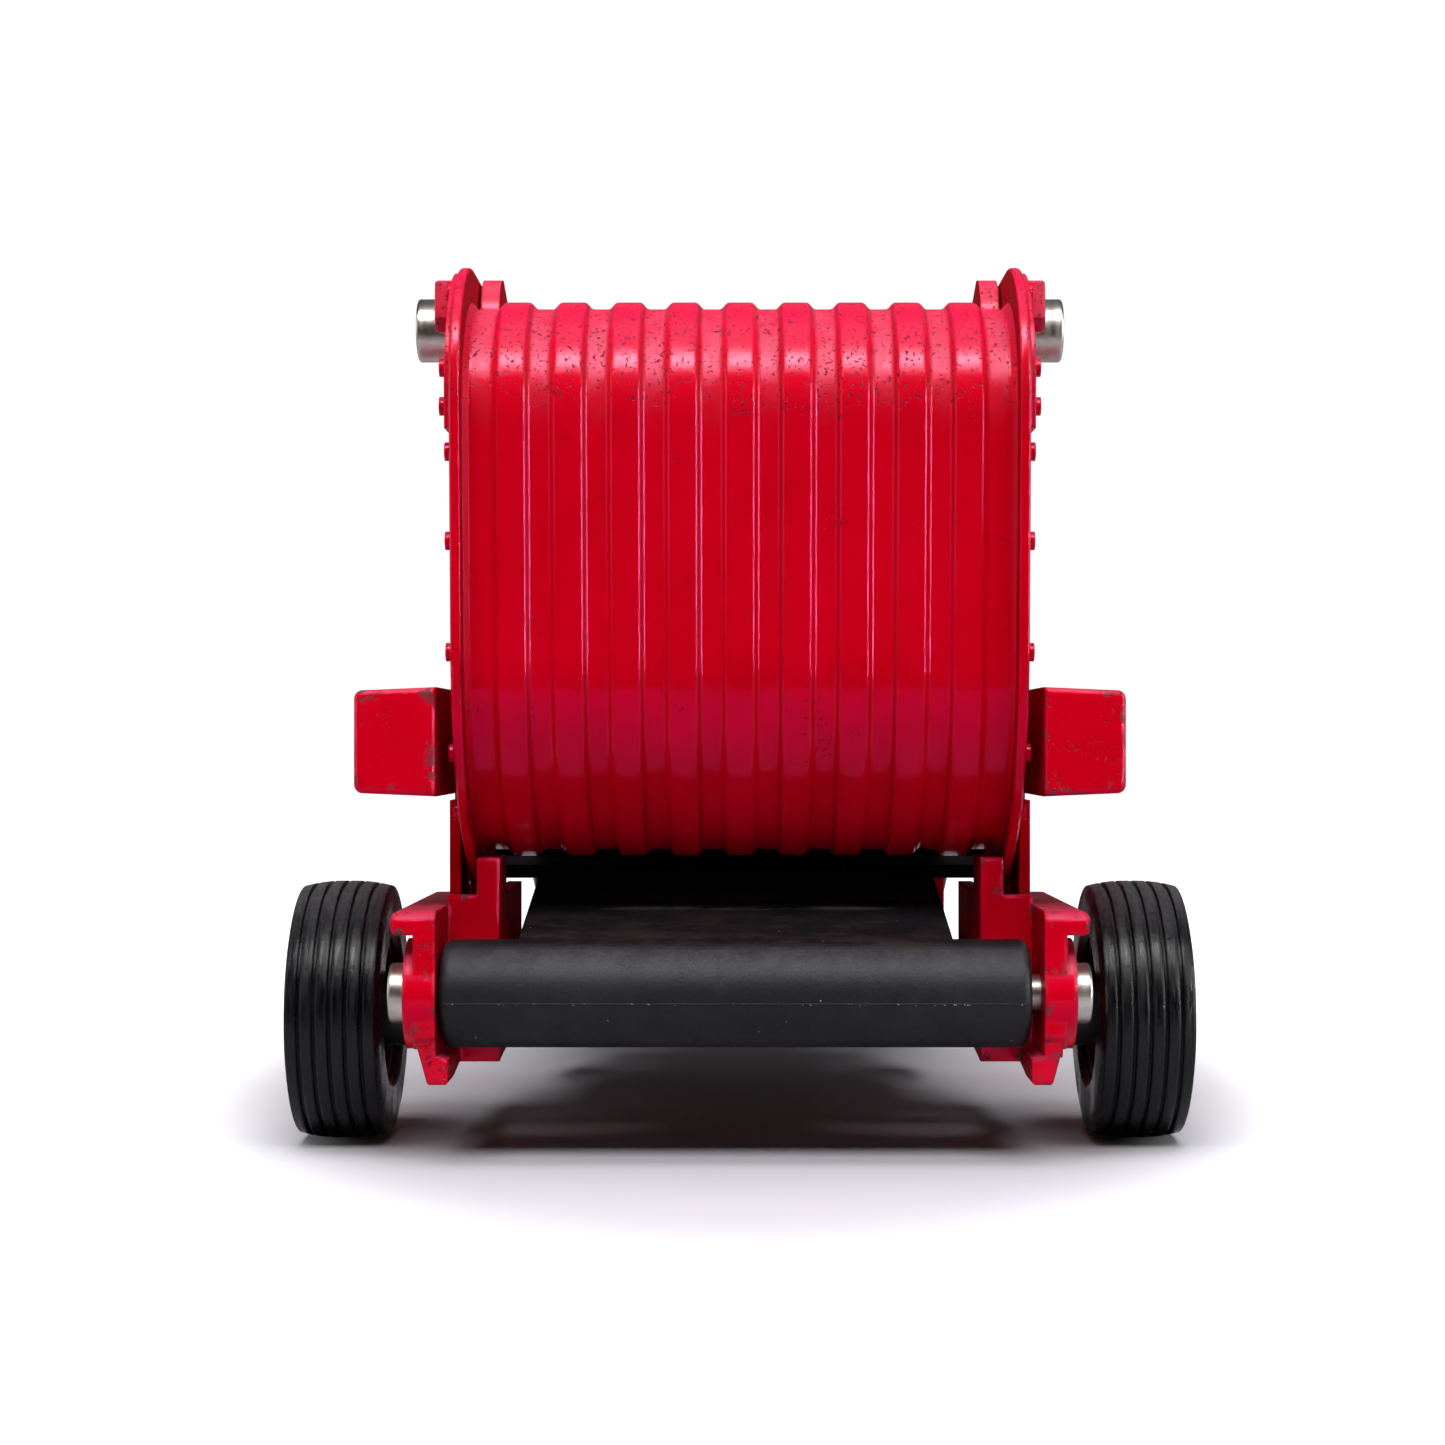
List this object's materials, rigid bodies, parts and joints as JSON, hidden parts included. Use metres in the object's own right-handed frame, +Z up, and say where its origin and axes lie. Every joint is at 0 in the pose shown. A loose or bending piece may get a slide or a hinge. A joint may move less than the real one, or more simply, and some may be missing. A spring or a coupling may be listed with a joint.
{
  "type": "toy round baler",
  "caption": "Die-cast toy round baler with a hinged ribbed tailgate, tilting bale ramp, ribbed tyres, side boxes, pickup reel, drawbar and folding stand.",
  "frame": {"origin": "bottom centre of the whole toy: on the floor, midway between the wheels' outer ends, halfway along its length", "axes": "+Z up, +Y forward to the hitch eye, -Y to the ribbed tailgate, +X to the right as seen from behind the toy"},
  "size_m": [0.0764, 0.13, 0.0739],
  "materials": {
    "red_enamel": "gloss red enamel on zinc casting, dusty and chipped at corners",
    "nickel_plate": "nickel plated, slightly tarnished",
    "black_moulding": "matte black moulding with dusty scuffs",
    "tyre_rubber": "satin black ribbed rubber",
    "rim_plastic": "black moulded plastic",
    "bright_steel": "drawn steel",
    "dark_grey_plastic": "dark grey moulded plastic"
  },
  "bodies": {
    "chassis": {"front_casting": "red_enamel", "arm_left": "red_enamel", "arm_right": "red_enamel", "arm_rivets": "nickel_plate", "cross_member": "red_enamel", "side_box_left": "red_enamel", "side_box_right": "red_enamel", "axle": "bright_steel", "axle_cap_left": "nickel_plate", "axle_cap_right": "nickel_plate", "hinge_pin_left": "nickel_plate", "hinge_pin_right": "nickel_plate", "ramp_pin": "nickel_plate", "ramp_pin_collar": "nickel_plate", "pickup_side_left": "red_enamel", "pickup_side_right": "red_enamel", "pickup_hood": "dark_grey_plastic", "chamber_floor": "black_moulding", "pickup_shaft": "bright_steel", "drawbar": "red_enamel", "hitch_eye": "bright_steel", "stand_pin": "nickel_plate", "gearbox": "dark_grey_plastic"},
    "tailgate": {"tailgate": "red_enamel"},
    "ramp": {"ramp": "black_moulding"},
    "wheel_left": {"tyre_left": "tyre_rubber", "rim_left": "rim_plastic"},
    "wheel_right": {"tyre_right": "tyre_rubber", "rim_right": "rim_plastic"},
    "roller_lower": {"roller_lower": "dark_grey_plastic"},
    "roller_front": {"roller_front": "dark_grey_plastic"},
    "roller_upper": {"roller_upper": "dark_grey_plastic"},
    "reel": {"pickup_reel": "dark_grey_plastic"},
    "pto": {"pto_shaft": "bright_steel"},
    "stand": {"stand_leg": "black_moulding"}
  },
  "joints": [
    {"name": "tailgate_hinge", "type": "hinge", "parent": "chassis", "child": "tailgate", "pos_m": [0, -0.0468, 0.0696], "axis": [-1, 0, 0], "range_deg": [0, 70]},
    {"name": "ramp_tilt", "type": "hinge", "parent": "chassis", "child": "ramp", "pos_m": [0, -0.0588, 0.0136], "axis": [1, 0, 0], "range_deg": [0, 12]},
    {"name": "wheel_left_spin", "type": "hinge", "parent": "chassis", "child": "wheel_left", "pos_m": [0, -0.0464, 0.01104], "axis": [1, 0, 0], "continuous": true},
    {"name": "wheel_right_spin", "type": "hinge", "parent": "chassis", "child": "wheel_right", "pos_m": [0, -0.0464, 0.01104], "axis": [1, 0, 0], "continuous": true},
    {"name": "roller_lower_spin", "type": "hinge", "parent": "chassis", "child": "roller_lower", "pos_m": [0, -0.0315, 0.0272], "axis": [1, 0, 0], "continuous": true},
    {"name": "roller_front_spin", "type": "hinge", "parent": "chassis", "child": "roller_front", "pos_m": [0, -0.0202, 0.0315], "axis": [1, 0, 0], "continuous": true},
    {"name": "roller_upper_spin", "type": "hinge", "parent": "chassis", "child": "roller_upper", "pos_m": [0, -0.022, 0.0598], "axis": [1, 0, 0], "continuous": true},
    {"name": "reel_spin", "type": "hinge", "parent": "chassis", "child": "reel", "pos_m": [0, -0.008, 0.012], "axis": [1, 0, 0], "continuous": true},
    {"name": "pto_spin", "type": "hinge", "parent": "chassis", "child": "pto", "pos_m": [0, 0, 0.0428], "axis": [0, 1, 0], "continuous": true},
    {"name": "stand_fold", "type": "hinge", "parent": "chassis", "child": "stand", "pos_m": [0, 0.04, 0.0156], "axis": [-1, 0, 0], "range_deg": [0, 85]}
  ]
}
